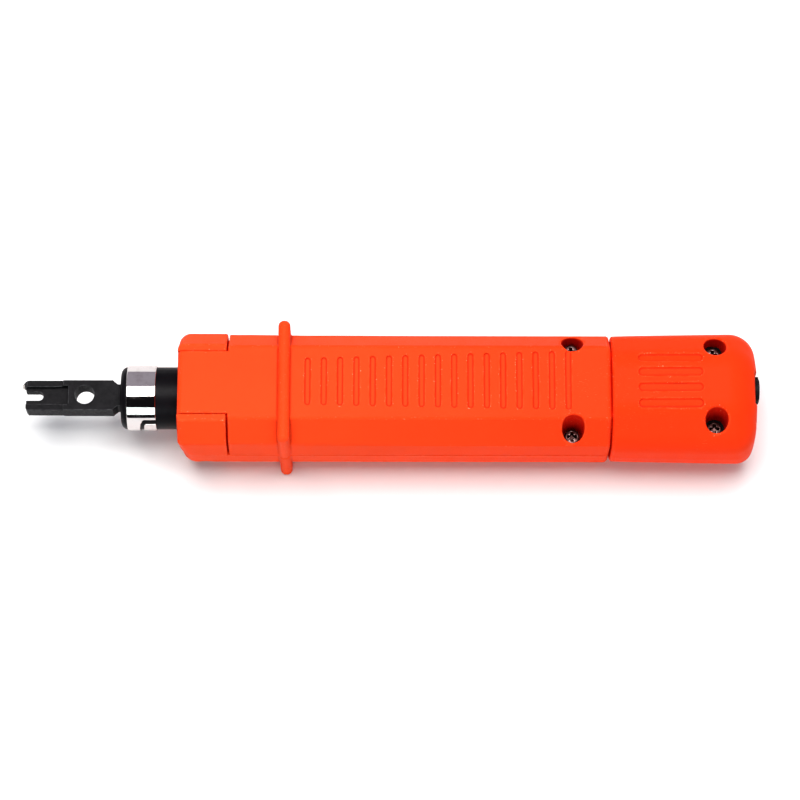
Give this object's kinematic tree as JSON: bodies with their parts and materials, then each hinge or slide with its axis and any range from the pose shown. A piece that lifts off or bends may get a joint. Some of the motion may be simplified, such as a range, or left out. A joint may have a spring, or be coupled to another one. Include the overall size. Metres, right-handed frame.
{
  "type": "punch down tool",
  "caption": "Hand-held impact punch down tool: orange two-part housing with guard flange, turning rear cap with a stored spare blade, and a bayonet socket with a black forked blade.",
  "frame": {"origin": "middle of the whole tool's length and width, at the level of its lowest edge, which is the guard flange's lower edge", "axes": "+X along the tool's axis towards the turning rear cap, so the blade points to -X; +Z out of the grooved grip face; Y across the tool"},
  "size_m": [0.1834, 0.0314, 0.0315],
  "materials": {
    "orange_plastic": "satin moulded ABS, bright orange",
    "orange_cap": "satin moulded ABS, bright orange",
    "black_plastic": "satin black acetal",
    "chrome_band": "polished nickel plate",
    "steel": "ground steel",
    "hardened_steel": "hardened steel, dull",
    "black_oxide": "black oxide with a ground cutting edge",
    "spring_wire": "oiled spring wire",
    "screw_steel": "bright zinc plate"
  },
  "bodies": {
    "housing": {"bottom_shell": "orange_plastic", "top_shell": "orange_plastic", "nose_block": "orange_plastic", "housing_screw_near": "screw_steel", "housing_screw_far": "screw_steel", "nose_screw_near": "screw_steel", "nose_screw_far": "screw_steel", "impact_spring": "spring_wire"},
    "plunger": {"plunger_socket": "black_plastic", "socket_ring": "chrome_band", "striker_rod": "steel", "return_spring": "spring_wire"},
    "detent": {"detent_ball": "steel"},
    "blade": {"blade": "black_oxide"},
    "hammer": {"hammer": "steel", "sear_spring": "spring_wire"},
    "sear": {"sear_block": "hardened_steel"},
    "seat": {"spring_seat": "black_plastic"},
    "cap": {"rear_cap": "orange_cap", "adjuster_hub": "black_plastic", "cap_screw_near": "screw_steel", "cap_screw_far": "screw_steel"},
    "spare": {"spare_blade": "black_oxide"}
  },
  "joints": [
    {"name": "plunger_slide", "type": "slide", "parent": "housing", "child": "plunger", "axis": [1, 0, 0], "range_m": [0, 0.0065], "stiffness_N_per_m": 6000},
    {"name": "hammer_slide", "type": "slide", "parent": "housing", "child": "hammer", "axis": [1, 0, 0], "range_m": [0, 0.0065], "deforming": ["impact_spring"]},
    {"name": "sear_slide", "type": "slide", "parent": "hammer", "child": "sear", "axis": [0, 0, -1], "range_m": [0, 0.0015], "deforming": ["sear_spring"]},
    {"name": "blade_twist", "type": "hinge", "parent": "plunger", "child": "blade", "pos_m": [-0.0615, 0, 0.01575], "axis": [1, 0, 0], "range_deg": [0, 90]},
    {"name": "detent_lift", "type": "slide", "parent": "plunger", "child": "detent", "axis": [0, 1, 0], "range_m": [0, 0.0004], "stiffness_N_per_m": 400},
    {"name": "cap_turn", "type": "hinge", "parent": "housing", "child": "cap", "pos_m": [0.0505, 0, 0.01575], "axis": [1, 0, 0], "range_deg": [0, 150]},
    {"name": "seat_slide", "type": "slide", "parent": "housing", "child": "seat", "axis": [-1, 0, 0], "range_m": [0, 0.0025], "deforming": ["impact_spring"]},
    {"name": "spare_blade_slide", "type": "slide", "parent": "cap", "child": "spare", "axis": [1, 0, 0], "range_m": [0, 0.0365]}
  ],
  "couplings": [
    {"joint": "hammer_slide", "follows": "plunger_slide", "ratio": 1},
    {"joint": "sear_slide", "follows": "plunger_slide", "ratio": 0.2307},
    {"joint": "seat_slide", "follows": "cap_turn", "m_per_rad": 0.00095}
  ]
}
